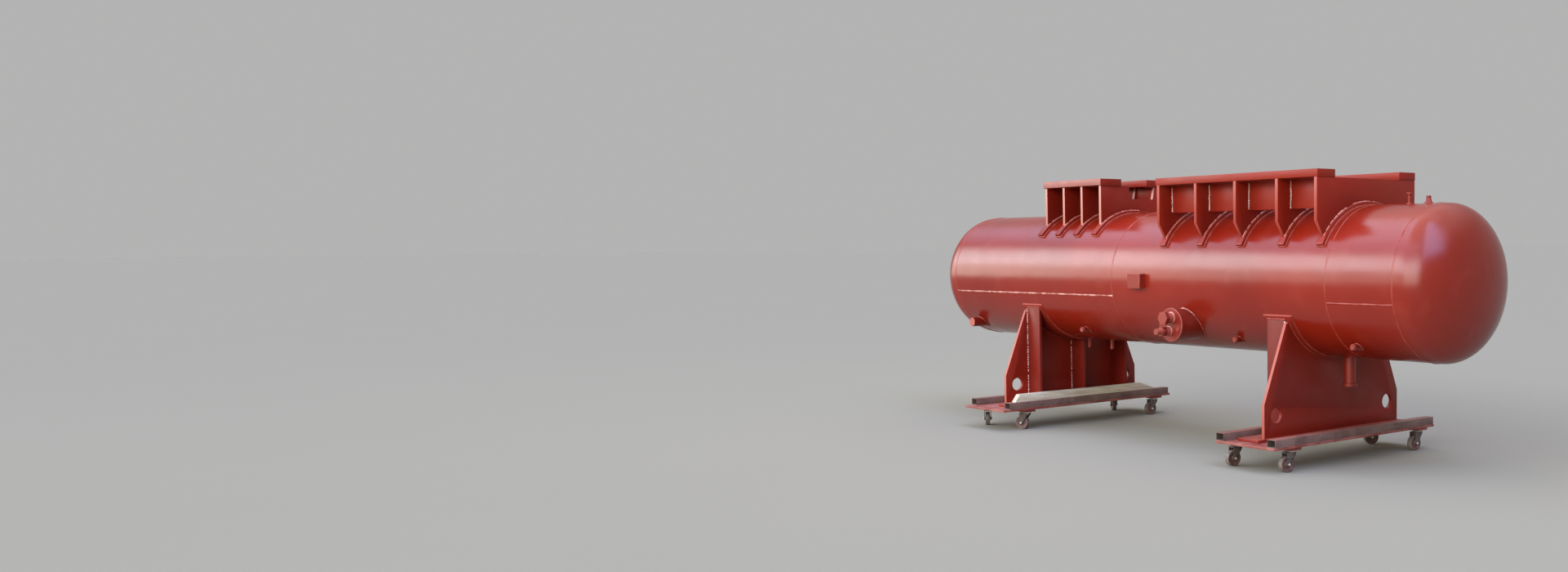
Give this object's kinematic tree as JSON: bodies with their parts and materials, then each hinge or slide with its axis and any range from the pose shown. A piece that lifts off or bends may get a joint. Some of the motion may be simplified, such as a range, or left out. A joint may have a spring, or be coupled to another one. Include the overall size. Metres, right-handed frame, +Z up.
{
  "type": "oil separator",
  "caption": "Horizontal oil separator vessel with dished heads, welded motor and compressor support frames on top, saddles, and two workshop dollies on swivel casters.",
  "frame": {"origin": "on the floor under the middle of the vessel", "axes": "+X along the vessel towards the end with the top vents, -Y to the side with the heater nozzle, +Z up"},
  "size_m": [5.33, 1.73, 1.949],
  "materials": {
    "vessel_primer": "semi-gloss red-oxide primer",
    "frame_primer": "semi-gloss red-oxide primer",
    "saddle_primer": "red-oxide primer",
    "fitting_primer": "red-oxide primer",
    "dolly_tubes": "dull, scuffed, with red overspray",
    "dolly_deck": "dull, with red overspray",
    "zinc": "zinc plated, dusty",
    "caster_forks": "zinc plated, dirty",
    "caster_wheels": "brown, dirty",
    "timber": "bare sawn timber"
  },
  "bodies": {
    "vessel": {"shell_left": "vessel_primer", "shell_middle": "vessel_primer", "shell_right": "vessel_primer", "head_left": "vessel_primer", "head_right": "vessel_primer", "motor_front_rail": "frame_primer", "motor_rear_rail": "frame_primer", "motor_ribs": "frame_primer", "motor_front_webs": "frame_primer", "motor_rear_webs": "frame_primer", "motor_pads": "frame_primer", "compressor_front_rail": "frame_primer", "compressor_rear_rail": "frame_primer", "compressor_ribs": "frame_primer", "compressor_webs": "frame_primer", "compressor_pads": "frame_primer", "left_saddle_web": "saddle_primer", "left_saddle_ribs": "saddle_primer", "left_wear_plate": "saddle_primer", "left_base_plate": "saddle_primer", "right_saddle_web": "saddle_primer", "right_saddle_ribs": "saddle_primer", "right_wear_plate": "saddle_primer", "right_base_plate": "saddle_primer", "left_deck": "dolly_deck", "left_tubes": "dolly_tubes", "left_caster_plates": "zinc", "right_deck": "dolly_deck", "right_tubes": "dolly_tubes", "right_caster_plates": "zinc", "timber_batten": "timber", "heater_nozzle": "fitting_primer", "heater_cover": "fitting_primer", "heater_plugs": "fitting_primer", "side_couplings": "fitting_primer", "oil_nozzle": "fitting_primer", "drain_nozzle": "fitting_primer", "under_couplings": "fitting_primer", "top_vents": "fitting_primer", "nameplate_bracket": "fitting_primer"},
    "fork_1": {"fork_1": "caster_forks"},
    "wheel_1": {"wheel_1": "caster_wheels"},
    "fork_2": {"fork_2": "caster_forks"},
    "wheel_2": {"wheel_2": "caster_wheels"},
    "fork_3": {"fork_3": "caster_forks"},
    "wheel_3": {"wheel_3": "caster_wheels"},
    "fork_4": {"fork_4": "caster_forks"},
    "wheel_4": {"wheel_4": "caster_wheels"},
    "fork_5": {"fork_5": "caster_forks"},
    "wheel_5": {"wheel_5": "caster_wheels"},
    "fork_6": {"fork_6": "caster_forks"},
    "wheel_6": {"wheel_6": "caster_wheels"},
    "fork_7": {"fork_7": "caster_forks"},
    "wheel_7": {"wheel_7": "caster_wheels"},
    "fork_8": {"fork_8": "caster_forks"},
    "wheel_8": {"wheel_8": "caster_wheels"}
  },
  "joints": [
    {"name": "swivel_1", "type": "hinge", "parent": "vessel", "child": "fork_1", "pos_m": [1.63, -0.598, 0.128], "axis": [0, 0, 1], "continuous": true},
    {"name": "axle_1", "type": "hinge", "parent": "fork_1", "child": "wheel_1", "pos_m": [1.62512, -0.6377, 0.0525], "axis": [0.9925, -0.1219, 0], "continuous": true},
    {"name": "swivel_2", "type": "hinge", "parent": "vessel", "child": "fork_2", "pos_m": [1.21, -0.66, 0.128], "axis": [0, 0, 1], "continuous": true},
    {"name": "axle_2", "type": "hinge", "parent": "fork_2", "child": "wheel_2", "pos_m": [1.20582, -0.69978, 0.0525], "axis": [0.9945, -0.1045, 0], "continuous": true},
    {"name": "swivel_3", "type": "hinge", "parent": "vessel", "child": "fork_3", "pos_m": [1.63, 0.698, 0.128], "axis": [0, 0, 1], "continuous": true},
    {"name": "axle_3", "type": "hinge", "parent": "fork_3", "child": "wheel_3", "pos_m": [1.6286, 0.65802, 0.0525], "axis": [0.9994, -0.0349, 0], "continuous": true},
    {"name": "swivel_4", "type": "hinge", "parent": "vessel", "child": "fork_4", "pos_m": [1.21, 0.64, 0.128], "axis": [0, 0, 1], "continuous": true},
    {"name": "axle_4", "type": "hinge", "parent": "fork_4", "child": "wheel_4", "pos_m": [1.22754, 0.67595, 0.0525], "axis": [-0.8988, 0.4384, 0], "continuous": true},
    {"name": "swivel_5", "type": "hinge", "parent": "vessel", "child": "fork_5", "pos_m": [-1.21, -0.604, 0.128], "axis": [0, 0, 1], "continuous": true},
    {"name": "axle_5", "type": "hinge", "parent": "fork_5", "child": "wheel_5", "pos_m": [-1.24654, -0.62027, 0.0525], "axis": [0.4067, -0.9135, 0], "continuous": true},
    {"name": "swivel_6", "type": "hinge", "parent": "vessel", "child": "fork_6", "pos_m": [-1.63, -0.69, 0.128], "axis": [0, 0, 1], "continuous": true},
    {"name": "axle_6", "type": "hinge", "parent": "fork_6", "child": "wheel_6", "pos_m": [-1.66316, -0.66763, 0.0525], "axis": [-0.5592, -0.829, 0], "continuous": true},
    {"name": "swivel_7", "type": "hinge", "parent": "vessel", "child": "fork_7", "pos_m": [-1.21, 0.73, 0.128], "axis": [0, 0, 1], "continuous": true},
    {"name": "axle_7", "type": "hinge", "parent": "fork_7", "child": "wheel_7", "pos_m": [-1.2107, 0.69001, 0.0525], "axis": [0.9998, -0.0175, 0], "continuous": true},
    {"name": "swivel_8", "type": "hinge", "parent": "vessel", "child": "fork_8", "pos_m": [-1.63, 0.64, 0.128], "axis": [0, 0, 1], "continuous": true},
    {"name": "axle_8", "type": "hinge", "parent": "fork_8", "child": "wheel_8", "pos_m": [-1.66532, 0.65878, 0.0525], "axis": [-0.4695, -0.8829, 0], "continuous": true}
  ]
}
